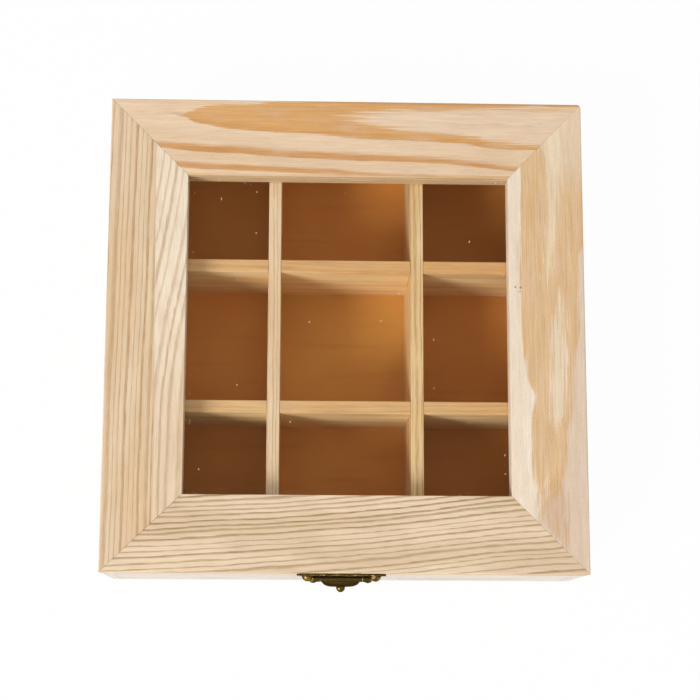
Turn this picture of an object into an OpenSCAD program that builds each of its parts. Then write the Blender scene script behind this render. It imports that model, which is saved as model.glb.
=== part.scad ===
// Tea bag box in unfinished pine with nine compartments. The lid is a mitred
// frame round a clear pane, hinged at the back and held by a hasp at the front.
// Millimetres, Z up. The origin is the centre of the underside and -Y is the front.

/* [Box] */
// Outside width, left to right
box_w = 240; // [210:1:300]
// Outside depth, front to back
box_d = 240; // [210:1:300]
// Height of the closed box
box_h = 70; // [66:1:90]
// Thickness of the four walls
wall_t = 12; // [11:0.5:14]
// Thickness of the hardboard base
base_t = 3; // [3:0.5:6]
// Depth of the rebate that laps each corner
corner_lap = 6; // [5:0.5:7]

/* [Dividers] */
// Thickness of a divider
divider_t = 6.4; // [5:0.1:8]
// Distance between two dividers that run the same way, centre to centre
divider_pitch = 72.6; // [60:0.1:75]
// Depth of the housing that each divider end sits in
housing = 3; // [2:0.5:4]
// How far the dividers stop short of the top of the walls
divider_drop = 0.8; // [0.4:0.1:5]

/* [Lid] */
// Thickness of the lid rails
lid_t = 12; // [12:0.5:14]
// Width of the window
window_w = 162.4; // [140:0.2:170]
// Depth of the window, front to back
window_d = 161.9; // [140:0.2:170]
// How far the trimmed frame leaves the window off centre, to the right
window_shift_x = 0.8; // [-2:0.1:2]
// How far the trimmed frame leaves the window off centre, to the back
window_shift_y = -0.9; // [-2:0.1:2]
// Thickness of the clear pane
pane_t = 2; // [1.5:0.5:3]
// Wood left above the pane
pane_lip = 4.6; // [3:0.2:6]
// Depth of the groove that holds the pane
groove = 6; // [4:0.5:8]

/* [Hinges] */
// Distance between the two hinges, centre to centre
hinge_span = 150; // [100:1:170]
// Length of a hinge
hinge_l = 25; // [20:1:30]
// Height of one leaf, measured from the pin
leaf_h = 8.4; // [7.8:0.2:9]
// Thickness of a leaf
leaf_t = 0.9; // [0.7:0.1:1.1]
// Angle at which the open lid comes to rest against the hinges' stops
lid_open = 105; // [95:1:120]

/* [Latch] */
// How far the latch sits from the middle of the front, to the right
latch_x = -1.8; // [-10:0.1:10]
// Thickness of the lid plate and the hasp
latch_t = 1; // [0.8:0.1:1]
// Radius of the hasp's rounded end
hasp_r = 10.2; // [9:0.1:10.4]
// How far the raised middle of the hasp stands out from the box
hasp_out = 5.5; // [5:0.1:6]
// Radius of the knob that the hasp closes over
knob_r = 2.2; // [1.8:0.1:2.2]

/* [Hidden] */
$fn = 48;
eps = 0.5;              // overshoot of a cut past the face that it opens
wood_play = 0.1;        // slack of a divider in its notch or housing, each side
hole_play = 0.02;       // slack of a brad, screw or nail in its hole
pin_fit = 0.02;         // slack of a hinge pin in the knuckles that hold it
pin_play = 0.05;        // slack of a hinge pin in the knuckles that turn on it
seam = 0.3;             // gap between the closed lid and the walls
mitre_gap = 0.16;       // width of the joint line at each mitre
base_inset = 0.4;       // how far the base stays inside the walls

lid_z = box_h - lid_t;
wall_top = lid_z - seam;
wall_h = wall_top - base_t;
divider_h = wall_h - divider_drop;
divider_at = [-divider_pitch / 2, divider_pitch / 2];
pane_z = box_h - pane_lip - pane_t;

// Window corners and outer corners of the lid, anticlockwise from front left.
window = [for (c = [[-1, -1], [1, -1], [1, 1], [-1, 1]])
    [c[0] * window_w / 2 + window_shift_x, c[1] * window_d / 2 + window_shift_y]];
rim = [for (c = [[-1, -1], [1, -1], [1, 1], [-1, 1]]) [c[0] * box_w / 2, c[1] * box_d / 2]];

// Brads in the wall corners and under the base.
brad_r = 0.6;
brad_head_r = 1.1;
brad_head_t = 0.8;
corner_brad_l = 20;
corner_brad_z = [for (f = [0.22, 0.5, 0.78]) base_t + f * wall_h];
base_brad_l = 16;
base_brad_reach = 0.7;  // share of the half width that the outer base brads stand at

// V-shaped nails driven across each mitre from below.
mitre_nail_in = 12;     // from the two outer faces
mitre_nail_leg = 6;
mitre_nail_t = 0.6;
mitre_nail_h = 8;

// Hinges: five knuckles, of which the box leaf has three.
barrel_r = 1.5;
barrel_gap = 0.1;       // between the barrel and the wood
hinge_pin_r = 0.75;
knuckles = 5;
knuckle_gap = 0.2;
hinge_out = barrel_r + barrel_gap;
hinge_z = lid_z - seam / 2;
hinge_screw_x = 7.5;
hinge_screw_z = 5.2;
screw_r = 0.95;
screw_head_r = 1.85;
screw_l = 8.5;

// Stop lug on each knuckle of the lid leaf. It meets the box leaf at lid_open.
lug_l = 2.1;
lug_t = 0.8;
lug_inset = 0.4;        // from each end of its knuckle
lug_root = 1.1;         // where it leaves the knuckle, inside the barrel's wall
lug_lean = 8.4;         // its angle to the box leaf when it meets it
lug_angle = lid_open - 90 - lug_lean;

// Latch.
latch_barrel_r = 1.7;
latch_barrel_l = 28;
latch_pin_r = 0.8;
latch_gap = 0.3;        // between the barrel and the wood
latch_out = latch_barrel_r + latch_gap;
latch_z = lid_z + 2.4;
hasp_barrel_l = 2 * hasp_r + 0.2;
hasp_z = latch_z - hasp_r - 1;      // centre of the rounded end
hasp_back = 1.5;                    // from the box to the back of the hasp
dish_flat_r = 4.5;                  // where the raised middle starts to curve
dish_r = hasp_r - 0.6;              // where the raised middle meets the flange
lip_w = 7.2;
lip_z = hasp_z - hasp_r - 1.4;
slot_w = 2 * knob_r + 0.8;
slot_top = latch_z - 9.6;
slot_bottom = latch_z - 15.3;
knob_z = latch_z - 12.1;
knob_out = 6;
post_r = 1.4;
post_in = 4;
catch_t = 0.9;
dome_r = 2.7;
dome_nail_r = 0.8;
lid_nail_x = 16.7;
lid_nail_z = lid_z + 6.4;
lid_nail_l = 12;
catch_nail_x = 13.7;
catch_nail_z = knob_z - 2.3;
catch_nail_l = 9;

// ---- Placing ----

// Children drawn as a flat outline (x, height) become a plate on the front of
// the box, from out to out + t away from it, centred on the latch.
module front_plate(out, t) {
    translate([latch_x, -box_d / 2 - out, 0])
        rotate([90, 0, 0]) linear_extrude(t) children();
}

// Children with their axis on +Z point away from the front, at x from the
// latch's centre and height z.
module at_front(x, z) {
    translate([latch_x + x, -box_d / 2, z]) rotate([90, 0, 0]) children();
}

// Children with their axis on +Z point away from the back, at x and height z.
module at_back(x, z) {
    translate([x, box_d / 2, z]) rotate([-90, 0, 0]) children();
}

// Children with their axis on +Z lie along the axis that the hasp turns on, at
// x from the latch's centre.
module on_latch_axis(x) {
    translate([latch_x + x, -box_d / 2 - latch_out, latch_z]) rotate([0, 90, 0]) children();
}

module round_rect(w, h, r) {
    square([w - 2 * r, h], center = true);
    square([w, h - 2 * r], center = true);
    for (x = [-1, 1], y = [-1, 1])
        translate([x * (w / 2 - r), y * (h / 2 - r)]) circle(r);
}

// ---- Fasteners ----

// A brad along +Z with its head at the origin.
module brad(l, play) {
    cylinder(h = l, r = brad_r + play);
    translate([0, 0, -play]) cylinder(h = brad_head_t + 2 * play, r = brad_head_r + play);
}

module corner_brads(play = 0) {
    color("silver")
        for (side = [0, 1], x = [-1, 1], z = corner_brad_z)
            mirror([0, side, 0])
                translate([x * (box_w / 2 - wall_t / 2), -box_d / 2 + 0.05, z])
                    rotate([-90, 0, 0]) brad(corner_brad_l, play);
}

module base_brads(play = 0) {
    color("silver") {
        for (y = [-1, 1], f = [-1, 0, 1])
            translate([f * base_brad_reach * box_w / 2, y * (box_d - wall_t) / 2, 0.05])
                brad(base_brad_l, play);
        for (x = [-1, 1], f = [-1, 0, 1])
            translate([x * (box_w - wall_t) / 2, f * base_brad_reach * box_d / 2, 0.05])
                brad(base_brad_l, play);
    }
}

// V-nails: the two legs of each run inwards from the mitre, one in either rail.
module lid_mitre_nails(play = 0) {
    t = mitre_nail_t + 2 * play;
    leg = mitre_nail_leg + 2 * play;
    color("silver")
        for (x = [0, 1], y = [0, 1])
            mirror([x, 0, 0]) mirror([0, y, 0])
                translate([-box_w / 2 + mitre_nail_in - play,
                           -box_d / 2 + mitre_nail_in - play, lid_z + 0.05 - play]) {
                    cube([leg, t, mitre_nail_h + 2 * play]);
                    cube([t, leg, mitre_nail_h + 2 * play]);
                }
}

// A countersunk wood screw whose head is flush with a leaf; +Z points out.
module screw(play = 0) {
    tip = 2;
    difference() {
        union() {
            translate([0, 0, -play])
                cylinder(h = leaf_t + play, r1 = screw_r + play, r2 = screw_head_r + play);
            translate([0, 0, tip - screw_l - play])
                cylinder(h = screw_l - tip + 2 * play, r = screw_r + play);
            translate([0, 0, -screw_l - play])
                cylinder(h = tip, r1 = 0.1 + play, r2 = screw_r + play);
        }
        if (play == 0) {
            for (a = [0, 90]) rotate(a)
                translate([-1.1, -0.22, leaf_t - 0.5]) cube([2.2, 0.44, 1]);
        }
    }
}

module hinge_screws(up, play = 0) {
    color("darkgoldenrod")
        for (side = [-1, 1], x = [-1, 1])
            at_back(side * hinge_span / 2 + x * hinge_screw_x, hinge_z + up * hinge_screw_z)
                screw(play);
}

// A nail with a domed head that sits on a plate of thickness t; +Z points out.
module dome_nail(l, t, play = 0) {
    translate([0, 0, -l - play]) cylinder(h = l + t + play, r = dome_nail_r + play);
    translate([0, 0, t]) difference() {
        sphere(r = dome_r);
        translate([0, 0, -dome_r]) cube(2 * dome_r, center = true);
    }
}

module latch_lid_nails(play = 0) {
    color("darkgoldenrod")
        for (x = [-1, 1]) at_front(x * lid_nail_x, lid_nail_z)
            dome_nail(lid_nail_l, latch_t, play);
}

module catch_nails(play = 0) {
    color("darkgoldenrod")
        for (x = [-1, 1]) at_front(x * catch_nail_x, catch_nail_z)
            dome_nail(catch_nail_l, catch_t, play);
}

// ---- Box ----

// Front wall: full width, with a rebate at each end for the side walls and a
// housing for each divider. The back wall is its mirror image.
module long_wall() {
    difference() {
        translate([-box_w / 2, -box_d / 2, base_t]) cube([box_w, wall_t, wall_h]);
        for (x = [-box_w / 2 - eps, box_w / 2 - wall_t])
            translate([x, -box_d / 2 + corner_lap, base_t - eps])
                cube([wall_t + eps, wall_t, wall_h + 2 * eps]);
        for (x = divider_at)
            translate([x - divider_t / 2 - wood_play, -box_d / 2 + wall_t - housing, base_t - eps])
                cube([divider_t + 2 * wood_play, housing + eps, wall_h + 2 * eps]);
        corner_brads(hole_play);
        base_brads(hole_play);
    }
}

module front_wall() {
    color("burlywood") difference() {
        long_wall();
        catch_nails(hole_play);
        catch_knob(hole_play);
    }
}

module back_wall() {
    color("burlywood") difference() {
        mirror([0, 1, 0]) long_wall();
        hinge_screws(-1, hole_play);
    }
}

// Left wall: its ends sit in the rebates of the front and back walls.
module side_wall() {
    length = box_d - 2 * corner_lap;
    difference() {
        translate([-box_w / 2, -length / 2, base_t]) cube([wall_t, length, wall_h]);
        for (y = divider_at)
            translate([-box_w / 2 + wall_t - housing, y - divider_t / 2 - wood_play, base_t - eps])
                cube([housing + eps, divider_t + 2 * wood_play, wall_h + 2 * eps]);
        corner_brads(hole_play);
        base_brads(hole_play);
    }
}

module left_wall() {
    color("burlywood") side_wall();
}

module right_wall() {
    color("burlywood") mirror([1, 0, 0]) side_wall();
}

module base_panel() {
    w = box_w - 2 * base_inset;
    d = box_d - 2 * base_inset;
    color("peru") difference() {
        translate([-w / 2, -d / 2, 0]) cube([w, d, base_t]);
        base_brads(hole_play);
        // the heads are sunk flush, so their seats are open below
        for (y = [-1, 1], f = [-1, 0, 1]) {
            translate([f * base_brad_reach * box_w / 2, y * (box_d - wall_t) / 2, -eps])
                cylinder(h = 2 * eps, r = brad_head_r + hole_play);
            translate([y * (box_w - wall_t) / 2, f * base_brad_reach * box_d / 2, -eps])
                cylinder(h = 2 * eps, r = brad_head_r + hole_play);
        }
    }
}

// ---- Dividers, halved together where they cross ----

// A divider of the given length along Y, centred on X = 0, with a half-depth
// notch at each crossing, cut from the top or from the bottom.
module divider(length, notch_from_top) {
    half = divider_h / 2;
    z0 = notch_from_top ? base_t + half - wood_play : base_t - eps;
    difference() {
        translate([-divider_t / 2, -length / 2, base_t]) cube([divider_t, length, divider_h]);
        for (y = divider_at)
            translate([-divider_t, y - divider_t / 2 - wood_play, z0])
                cube([2 * divider_t, divider_t + 2 * wood_play, half + wood_play + eps]);
    }
}

// Runs front to back; its top edge is unbroken.
module long_divider(x) {
    color("burlywood") translate([x, 0, 0])
        divider(box_d - 2 * (wall_t - housing + wood_play), false);
}

// Runs left to right, under the others at each crossing.
module cross_divider(y) {
    color("burlywood") translate([0, y, 0]) rotate(90)
        divider(box_w - 2 * (wall_t - housing + wood_play), true);
}

// ---- Lid ----

// Everything that is cut out of the lid frame.
module lid_cuts() {
    for (i = [0:3]) {
        run = window[i] - rim[i];
        translate([rim[i][0], rim[i][1], lid_z - eps])
            rotate(atan2(run[1], run[0])) translate([-eps, -mitre_gap / 2, 0])
                cube([norm(run) + 2 * eps, mitre_gap, lid_t + 2 * eps]);
    }
    translate([window[0][0] - groove, window[0][1] - groove, pane_z - wood_play])
        cube([window_w + 2 * groove, window_d + 2 * groove, pane_t + 2 * wood_play]);
    lid_mitre_nails(hole_play);
}

// Rail i lies between corners i and i + 1: 0 front, 1 right, 2 back, 3 left.
module lid_rail(i) {
    j = (i + 1) % 4;
    difference() {
        translate([0, 0, lid_z]) linear_extrude(lid_t)
            polygon([rim[i], rim[j], window[j], window[i]]);
        lid_cuts();
    }
}

module lid_front_rail() {
    color("wheat") difference() {
        lid_rail(0);
        latch_lid_nails(hole_play);
    }
}

module lid_back_rail() {
    color("wheat") difference() {
        lid_rail(2);
        hinge_screws(1, hole_play);
    }
}

module lid_left_rail() {
    color("wheat") lid_rail(3);
}

module lid_right_rail() {
    color("wheat") lid_rail(1);
}

module window_pane() {
    held = groove - 0.5;
    color("lightcyan", 0.3)
        translate([window[0][0] - held, window[0][1] - held, pane_z])
            cube([window_w + 2 * held, window_d + 2 * held, pane_t]);
}

// ---- Hinges ----

function knuckle_x(k) = -hinge_l / 2 + k * hinge_l / knuckles;

// One leaf, with the pin's axis on X. up is 1 for the lid leaf and -1 for the
// box leaf. own is the first of the knuckles that belong to it, every second one.
module hinge_leaf(side, up) {
    own = up > 0 ? 1 : 0;
    bore = hinge_pin_r + (up > 0 ? pin_play : pin_fit);
    knuckle_l = hinge_l / knuckles;
    color("darkgoldenrod")
    translate([side * hinge_span / 2, box_d / 2, hinge_z]) difference() {
        union() {
            difference() {
                rotate([-90, 0, 0]) linear_extrude(leaf_t)
                    round_rect(hinge_l - knuckle_gap, 2 * leaf_h, 1.6);
                // the half of the outline on the other side of the pin
                translate([-hinge_l, -eps, up > 0 ? -2 * leaf_h : 0])
                    cube([2 * hinge_l, leaf_t + 2 * eps, 2 * leaf_h]);
                // room for the other leaf's knuckles
                for (k = [1 - own : 2 : knuckles - 1])
                    translate([knuckle_x(k) - knuckle_gap, -eps, -barrel_r - 0.1])
                        cube([knuckle_l + 2 * knuckle_gap, leaf_t + 2 * eps, 2 * barrel_r + 0.2]);
            }
            for (k = [own : 2 : knuckles - 1])
                translate([knuckle_x(k) + knuckle_gap / 2, hinge_out, 0]) {
                    rotate([0, 90, 0]) cylinder(h = knuckle_l - knuckle_gap, r = barrel_r);
                    if (up > 0) rotate([lug_angle, 0, 0])
                        translate([lug_inset, lug_root, -lug_t / 2])
                            cube([knuckle_l - knuckle_gap - 2 * lug_inset, lug_l - lug_root, lug_t]);
                }
        }
        translate([-hinge_l, hinge_out, 0]) rotate([0, 90, 0]) cylinder(h = 2 * hinge_l, r = bore);
        for (x = [-1, 1])
            translate([x * hinge_screw_x, 0, up * hinge_screw_z]) rotate([-90, 0, 0])
                translate([0, 0, -0.01])
                    cylinder(h = leaf_t + 0.02, r1 = screw_r + hole_play, r2 = screw_head_r + hole_play);
    }
}

// Pin with a low domed head at both ends.
module hinge_pin(side) {
    color("darkgoldenrod")
    translate([side * hinge_span / 2, box_d / 2 + hinge_out, hinge_z]) rotate([0, 90, 0]) {
        cylinder(h = hinge_l + 1, r = hinge_pin_r, center = true);
        for (end = [0, 1]) mirror([0, 0, end])
            translate([0, 0, hinge_l / 2]) cylinder(h = 0.7, r1 = 1.2, r2 = 0.8);
    }
}

// ---- Latch ----

module lid_plate_outline() {
    w = latch_barrel_l - knuckle_gap;
    translate([-w / 2, latch_z]) square([w, 8.2]);
    for (x = [-1, 1]) {
        translate([x * lid_nail_x, lid_nail_z]) circle(4.4);
        translate([x * (lid_nail_x + 3.8), lid_nail_z]) circle(1.4);
        translate([x * 7.6, latch_z + 6.6]) circle(2.5);
    }
    translate([0, latch_z + 5.4]) circle(3.6);
}

module latch_lid_plate() {
    ear = (latch_barrel_l - hasp_barrel_l) / 2;
    color("darkgoldenrod") difference() {
        union() {
            difference() {
                front_plate(0, latch_t) lid_plate_outline();
                // room for the hasp's barrel
                front_plate(-eps, latch_t + 2 * eps)
                    translate([-hasp_barrel_l / 2 - knuckle_gap, latch_z - eps])
                        square([hasp_barrel_l + 2 * knuckle_gap, latch_barrel_r + 0.4 + eps]);
            }
            for (side = [-1, 1])
                on_latch_axis(side * (latch_barrel_l - ear) / 2)
                    cylinder(h = ear - knuckle_gap, r = latch_barrel_r, center = true);
        }
        on_latch_axis(0)
            cylinder(h = 2 * latch_barrel_l, r = latch_pin_r + pin_fit, center = true);
        for (x = [-1, 1]) at_front(x * lid_nail_x, lid_nail_z)
            translate([0, 0, -eps]) cylinder(h = latch_t + 2 * eps, r = dome_nail_r + hole_play);
    }
}

module latch_pin() {
    color("darkgoldenrod") on_latch_axis(0) {
        cylinder(h = latch_barrel_l + 0.8, r = latch_pin_r, center = true);
        for (end = [0, 1]) mirror([0, 0, end])
            translate([0, 0, latch_barrel_l / 2]) cylinder(h = 0.6, r1 = 1.3, r2 = 0.8);
    }
}

// Quarter of an ellipse from [r0, top] round to [r1, bottom].
function shoulder(r0, r1, bottom, top) =
    [for (a = [0:15:90]) [r0 + (r1 - r0) * sin(a), bottom + (top - bottom) * cos(a)]];

// Raised round middle of the hasp: a pressed dish, drawn as half of its section
// (radius, distance from the box), out along its front and back along its inside.
module hasp_dish() {
    front = shoulder(dish_flat_r, dish_r, hasp_back + latch_t, hasp_out);
    inside = shoulder(dish_flat_r, dish_r - latch_t, hasp_back, hasp_out - latch_t);
    translate([latch_x, -box_d / 2, hasp_z]) rotate([90, 0, 0]) rotate_extrude()
        polygon(concat(
            [[0, hasp_out]], front, [[dish_r, hasp_back]],
            [for (i = [len(inside) - 1 : -1 : 0]) inside[i]], [[0, hasp_out - latch_t]]
        ));
}

module hasp_slot() {
    r = slot_w / 2;
    front_plate(0, 2 * hasp_out) {
        translate([-r, slot_bottom + r]) square([slot_w, slot_top - slot_bottom - slot_w]);
        translate([0, slot_bottom + r]) circle(r);
        translate([0, slot_top - r]) circle(r);
    }
}

module latch_hasp() {
    color("darkgoldenrod") difference() {
        union() {
            difference() {
                front_plate(hasp_back, latch_t) {
                    translate([0, hasp_z]) circle(hasp_r);
                    translate([-hasp_r, hasp_z]) square([2 * hasp_r, latch_z - hasp_z]);
                    translate([-lip_w / 2, lip_z]) square([lip_w, 4]);
                }
                front_plate(0, hasp_out) translate([0, hasp_z]) circle(dish_r - latch_t / 2);
            }
            hasp_dish();
            // barrel, and the rolled lip that a finger lifts
            on_latch_axis(0) cylinder(h = hasp_barrel_l, r = latch_barrel_r, center = true);
            translate([latch_x, -box_d / 2 - hasp_back - 1, lip_z]) rotate([0, 90, 0])
                cylinder(h = lip_w, r = 1, center = true);
        }
        on_latch_axis(0)
            cylinder(h = 2 * latch_barrel_l, r = latch_pin_r + pin_play, center = true);
        hasp_slot();
    }
}

module catch_plate() {
    color("darkgoldenrod") difference() {
        front_plate(0, catch_t) {
            translate([0, catch_nail_z - 1.6]) circle(11.4);
            translate([0, catch_nail_z - 13]) circle(2.6);
            for (x = [-1, 1]) translate([x * catch_nail_x, catch_nail_z]) circle(4);
        }
        for (x = [-1, 1]) at_front(x * catch_nail_x, catch_nail_z)
            translate([0, 0, -eps]) cylinder(h = catch_t + 2 * eps, r = dome_nail_r + hole_play);
        at_front(0, knob_z)
            translate([0, 0, -eps]) cylinder(h = catch_t + 2 * eps, r = post_r + hole_play);
    }
}

// Post with a round knob, set through the catch plate into the wall.
module catch_knob(play = 0) {
    color("darkgoldenrod") at_front(0, knob_z) {
        translate([0, 0, -post_in - play]) cylinder(h = post_in + knob_out + play, r = post_r + play);
        translate([0, 0, knob_out]) sphere(r = knob_r);
    }
}

front_wall();
back_wall();
left_wall();
right_wall();
base_panel();
long_divider(divider_at[0]);  // divider_left
long_divider(divider_at[1]);  // divider_right
cross_divider(divider_at[0]);  // divider_front
cross_divider(divider_at[1]);  // divider_back
corner_brads();
base_brads();
lid_front_rail();
lid_back_rail();
lid_left_rail();
lid_right_rail();
window_pane();
lid_mitre_nails();
hinge_leaf(-1, -1);  // hinge_left_box_leaf
hinge_leaf(1, -1);  // hinge_right_box_leaf
hinge_leaf(-1, 1);  // hinge_left_lid_leaf
hinge_leaf(1, 1);  // hinge_right_lid_leaf
hinge_pin(-1);  // hinge_left_pin
hinge_pin(1);  // hinge_right_pin
hinge_screws(-1);  // hinge_box_screws
hinge_screws(1);  // hinge_lid_screws
latch_lid_plate();
latch_lid_nails();
latch_pin();
latch_hasp();
catch_plate();
catch_knob();
catch_nails();
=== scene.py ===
from math import cos, pi, radians, sin

import bmesh
import bpy
from mathutils import Matrix, Vector


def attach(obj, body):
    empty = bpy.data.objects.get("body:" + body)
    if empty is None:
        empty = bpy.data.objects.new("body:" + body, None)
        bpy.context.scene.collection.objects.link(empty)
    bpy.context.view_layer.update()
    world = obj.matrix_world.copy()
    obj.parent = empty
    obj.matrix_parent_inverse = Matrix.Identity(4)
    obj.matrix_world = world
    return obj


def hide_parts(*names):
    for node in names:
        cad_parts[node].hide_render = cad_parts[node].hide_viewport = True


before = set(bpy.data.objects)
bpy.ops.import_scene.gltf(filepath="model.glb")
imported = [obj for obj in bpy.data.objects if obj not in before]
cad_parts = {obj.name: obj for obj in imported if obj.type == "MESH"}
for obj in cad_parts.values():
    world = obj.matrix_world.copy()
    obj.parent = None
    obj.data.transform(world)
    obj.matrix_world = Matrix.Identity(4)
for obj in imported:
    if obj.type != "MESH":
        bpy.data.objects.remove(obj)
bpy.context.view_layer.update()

print("frame loaded:", len(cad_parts), "parts")


def feed(tree, value, socket):
    if isinstance(value, bpy.types.NodeSocket):
        tree.links.new(value, socket)
    else:
        socket.default_value = value


# A node of the given kind, with its inputs fed by sockets or plain values.
def put(tree, kind, inputs=None, **settings):
    node = tree.nodes.new("ShaderNode" + kind)
    for key, value in settings.items():
        setattr(node, key, value)
    for key, value in (inputs or {}).items():
        feed(tree, value, node.inputs[key])
    return node


def calc(tree, operation, a, b=0.0, c=0.0):
    return put(tree, "Math", {0: a, 1: b, 2: c}, operation=operation).outputs[0]


def newMaterial(name):
    material = bpy.data.materials.new(name)
    material.use_nodes = True
    material.node_tree.nodes.clear()
    return material, material.node_tree


# Camera, light and floor, in metres.
view = {
    "place": (-0.02515, -0.16485, 0.9136),
    "turn": (0.182018, -0.0325935, 0.00345042),
    "lens": 88.52,
    "sensor": 36,
}
light = {
    "room": 0.58,                       # even light from all round
    "key": 112,                         # watts of the soft box at the front left
    "keyPlace": (-2.32, -2.17, 2.5),
    "keySize": (1.35, 1.9),             # the long side runs front to back and softens shadows that way
}
paper = {
    "reach": 8,                         # half the side of the sheet under the box
    "shade": 0.86,
    "white": 0.97,                      # share of plain white that the camera sees in it
}
white = (1, 1, 1, 1)


def placeCamera():
    lens = bpy.data.cameras.new("camera")
    lens.lens = view["lens"]
    lens.sensor_width = view["sensor"]
    camera = bpy.data.objects.new("camera", lens)
    camera.location = view["place"]
    camera.rotation_euler = view["turn"]
    bpy.context.scene.collection.objects.link(camera)
    bpy.context.scene.camera = camera


# 1 for rays that show the background: straight, mirrored or through glass.
def seenDirectly(tree):
    rays = put(tree, "LightPath")
    both = calc(tree, "MAXIMUM", rays.outputs["Is Camera Ray"], rays.outputs["Is Glossy Ray"])
    return calc(tree, "MAXIMUM", both, rays.outputs["Is Transmission Ray"])


def lightRoom():
    world = bpy.data.worlds.new("room")
    world.use_nodes = True
    tree = world.node_tree
    tree.nodes.clear()
    even = put(tree, "Background", {"Color": white, "Strength": light["room"]})
    plain = put(tree, "Background", {"Color": white, "Strength": 1.0})
    mix = put(tree, "MixShader", {0: seenDirectly(tree), 1: even.outputs[0], 2: plain.outputs[0]})
    put(tree, "OutputWorld", {"Surface": mix.outputs[0]})
    bpy.context.scene.world = world


def hangKey():
    lamp = bpy.data.lights.new("key", "AREA")
    lamp.shape = "RECTANGLE"
    lamp.size, lamp.size_y = light["keySize"]
    lamp.energy = light["key"]
    key = bpy.data.objects.new("key", lamp)
    key.location = light["keyPlace"]
    aim = key.location.normalized()
    side = Vector((0, 1, 0)).cross(aim).normalized()
    key.rotation_euler = Matrix((side, aim.cross(side), aim)).transposed().to_euler()
    bpy.context.scene.collection.objects.link(key)


def layPaper():
    bm = bmesh.new()
    bmesh.ops.create_grid(bm, x_segments=1, y_segments=1, size=paper["reach"])
    mesh = bpy.data.meshes.new("floor")
    bm.to_mesh(mesh)
    bm.free()
    floor = bpy.data.objects.new("floor", mesh)
    bpy.context.scene.collection.objects.link(floor)
    material, tree = newMaterial("floor paper")
    shade = paper["shade"]
    matt = put(tree, "BsdfDiffuse", {"Color": (shade, shade, shade, 1)})
    plain = put(tree, "Emission", {"Color": white, "Strength": 1.0})
    seen = calc(tree, "MULTIPLY", seenDirectly(tree), paper["white"])
    both = put(tree, "MixShader", {0: seen, 1: matt.outputs[0], 2: plain.outputs[0]})
    put(tree, "OutputMaterial", {"Surface": both.outputs[0]})
    mesh.materials.append(material)


placeCamera()
lightRoom()
hangKey()
layPaper()
bpy.context.scene.view_settings.view_transform = "Standard"
print("camera, light and floor ready")


# Helpers for the materials. A colour is written as it looks on a screen, 0 to 255.
def paint(red, green, blue):
    return tuple(c / 255 / 12.92 if c <= 10 else ((c / 255 + 0.055) / 1.055) ** 2.4
                 for c in (red, green, blue)) + (1.0,)


# Position on the object in millimetres.
def whereMm(tree):
    spot = put(tree, "TexCoord").outputs["Object"]
    return put(tree, "VectorMath", {0: spot, "Scale": 1000.0}, operation="SCALE").outputs[0]


def stretch(tree, spot, scale, shift=(0, 0, 0)):
    return put(tree, "Mapping", {"Vector": spot, "Scale": scale, "Location": shift}).outputs[0]


def noise(tree, spot, scale=1.0, detail=2.0, rough=0.5):
    inputs = {"Vector": spot, "Scale": scale, "Detail": detail, "Roughness": rough}
    return put(tree, "TexNoise", inputs).outputs[0]


# Maps value from one range to another with a soft start and end.
def ease(tree, value, low, high, toLow=0.0, toHigh=1.0):
    inputs = {"Value": value, "From Min": low, "From Max": high, "To Min": toLow, "To Max": toHigh}
    return put(tree, "MapRange", inputs, interpolation_type="SMOOTHSTEP").outputs[0]


# Spreads a noise, which lies between 0.3 and 0.7 nearly everywhere, over a range.
def spread(tree, wave, low=0.0, high=1.0):
    return ease(tree, wave, 0.3, 0.7, low, high)


# Moves a value up and down with a noise, by half the reach at most.
def sway(tree, wave, reach, value=0.0):
    return calc(tree, "MULTIPLY_ADD", calc(tree, "SUBTRACT", wave, 0.5), reach, value)


def blend(tree, amount, first, second, mode="MIX"):
    return put(tree, "Mix", {0: amount, 6: first, 7: second}, data_type="RGBA", blend_type=mode,
               clamp_factor=True).outputs[2]


def bumps(tree, height, strength, distance):
    return put(tree, "Bump", {"Height": height, "Strength": strength, "Distance": distance}).outputs[0]


def coat(tree, colour, rough, bump, others):
    inputs = {"Base Color": colour, "Roughness": rough, "Normal": bump, **others}
    surface = put(tree, "BsdfPrincipled", inputs)
    put(tree, "OutputMaterial", {"Surface": surface.outputs[0]})


# A curve through a few points (along, across) within these reaches in mm, read at a place along the board.
drawing = {"along": 120.0, "across": 130.0}


def readCurve(tree, along, points):
    reach, height = drawing["along"], drawing["across"]
    node = put(tree, "FloatCurve", {"Value": calc(tree, "MULTIPLY_ADD", along, 0.5 / reach, 0.5)})
    curve = node.mapping.curves[0]
    while len(curve.points) < len(points):
        curve.points.new(0.5, 0.5)
    for dot, (x, y) in zip(curve.points, sorted(points)):
        dot.location = (0.5 + 0.5 * x / reach, 0.5 + 0.5 * y / height)
    node.mapping.update()
    return calc(tree, "MULTIPLY_ADD", node.outputs[0], 2 * height, -height)


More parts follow.
